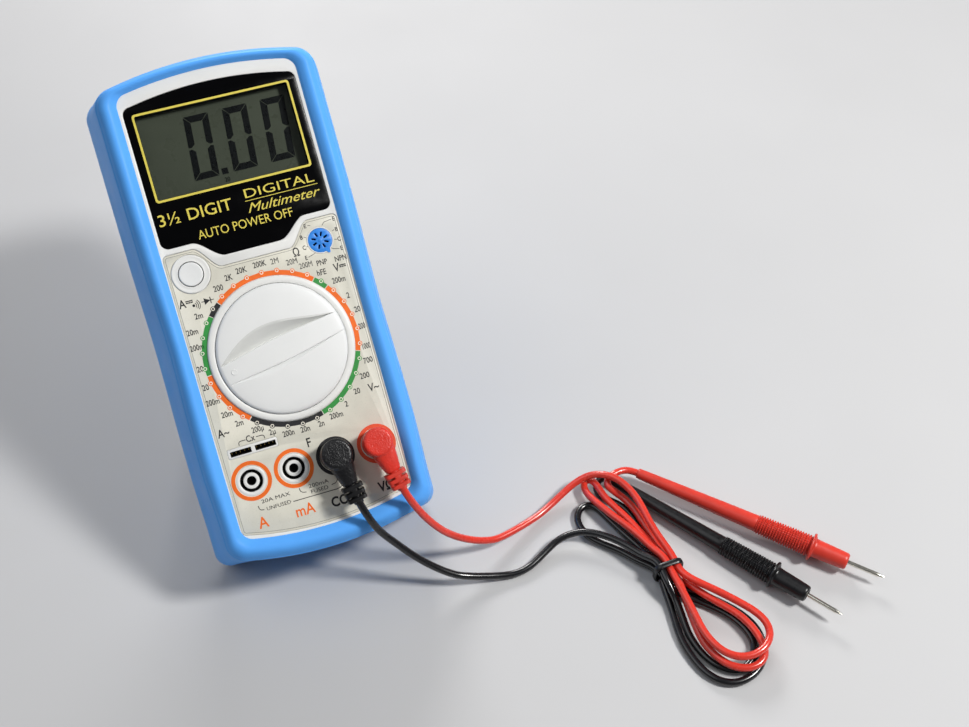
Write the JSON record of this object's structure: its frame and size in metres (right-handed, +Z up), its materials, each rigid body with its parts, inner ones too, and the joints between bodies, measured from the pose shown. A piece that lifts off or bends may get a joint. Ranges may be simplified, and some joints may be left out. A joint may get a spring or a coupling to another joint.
{
  "type": "digital multimeter",
  "caption": "Digital multimeter in a rubber holster on its tilt stand, with rotary range selector, power button, display, input jacks and a pair of coiled test leads plugged in.",
  "frame": {"origin": "middle of the flat at the holster's lower rear edge, on the table the meter stands on", "axes": "+Z up, +X to the right across the meter's face, +Y away from the reader; the face is leaned back by 41 degrees from the table"},
  "size_m": [0.2594, 0.2771, 0.1634],
  "materials": {
    "holster_rubber": "soft moulded rubber with a fine matt skin and worn, paler edges",
    "case_plastic": "off-white moulded ABS with a fine spark texture",
    "label_film": "satin cream polycarbonate overlay with printed scales",
    "window_plastic": "glossy acrylic window, printed black behind, clear over the display",
    "lcd": "dark grey-green liquid crystal glass",
    "board": "green glass-fibre board with solder mask",
    "black_plastic": "black moulded plastic",
    "socket_blue": "blue moulded plastic",
    "brass": "turned and stamped brass",
    "steel": "zinc-plated steel",
    "nickel": "bright nickel plate",
    "red_lead": "red flexible PVC with a soft sheen",
    "black_lead": "black flexible PVC with a soft sheen",
    "zebra_rubber": "layered conductive silicone",
    "fuse_glass": "glass tube with plated end caps",
    "battery_shell": "printed steel jacket"
  },
  "bodies": {
    "meter_body": {"holster": "holster_rubber", "front_case": "case_plastic", "rear_case": "case_plastic", "face_label": "label_film", "display_window": "window_plastic", "lcd_glass": "lcd", "main_pcb": "board", "capacitor_socket": "black_plastic", "lcd_frame": "black_plastic", "converter_ic": "black_plastic", "battery_snap": "black_plastic", "power_switch_body": "black_plastic", "transistor_socket": "socket_blue", "input_jack_a": "brass", "input_jack_ma": "brass", "input_jack_com": "brass", "input_jack_volt": "brass", "buzzer_disc": "brass", "fuse_clip_1": "brass", "fuse_clip_2": "brass", "case_screw_1": "steel", "case_screw_2": "steel", "case_screw_3": "steel", "pcb_screw_1": "steel", "pcb_screw_2": "steel", "pcb_screw_3": "steel", "power_return_spring": "steel", "red_probe_tip": "nickel", "black_probe_tip": "nickel", "shunt_wire": "nickel", "red_cable": "red_lead", "red_lead_in": "red_lead", "red_probe_handle": "red_lead", "battery_wire_red": "red_lead", "black_cable": "black_lead", "black_lead_in": "black_lead", "black_probe_handle": "black_lead", "battery_wire_black": "black_lead", "cable_tie": "black_lead", "zebra_strip": "zebra_rubber", "fuse": "fuse_glass", "battery_9v": "battery_shell"},
    "selector": {"selector_knob": "case_plastic", "selector_rotor": "black_plastic", "contact_wiper_1": "brass", "contact_wiper_2": "brass", "contact_wiper_3": "brass", "detent_ball_1": "steel", "detent_ball_2": "steel", "detent_spring_1": "steel", "detent_spring_2": "steel"},
    "power_button": {"power_button_cap": "case_plastic", "power_switch_plunger": "black_plastic"},
    "stand": {"tilt_stand": "case_plastic"},
    "red_plug": {"red_plug_boot": "red_lead", "red_plug_pin": "nickel"},
    "black_plug": {"black_plug_boot": "black_lead", "black_plug_pin": "nickel"}
  },
  "joints": [
    {"name": "selector_turn", "type": "hinge", "parent": "meter_body", "child": "selector", "pos_m": [0, 0.03373, 0.08502], "axis": [0, -0.6561, 0.7547], "continuous": true},
    {"name": "power_press", "type": "slide", "parent": "meter_body", "child": "power_button", "axis": [0, 0.6561, -0.7547], "range_m": [-0.0015, 0.0015], "stiffness_N_per_m": 300, "springref_m": -0.003, "deforming": ["power_return_spring"]},
    {"name": "stand_fold", "type": "hinge", "parent": "meter_body", "child": "stand", "pos_m": [0, 0.08657, 0.0753], "axis": [-1, 0, 0], "range_deg": [0, 73.5]},
    {"name": "red_plug_pull", "type": "slide", "parent": "meter_body", "child": "red_plug", "axis": [0, -0.6561, 0.7547], "range_m": [0, 0.018], "deforming": ["red_lead_in"]},
    {"name": "black_plug_pull", "type": "slide", "parent": "meter_body", "child": "black_plug", "axis": [0, -0.6561, 0.7547], "range_m": [0, 0.018], "deforming": ["black_lead_in"]}
  ]
}
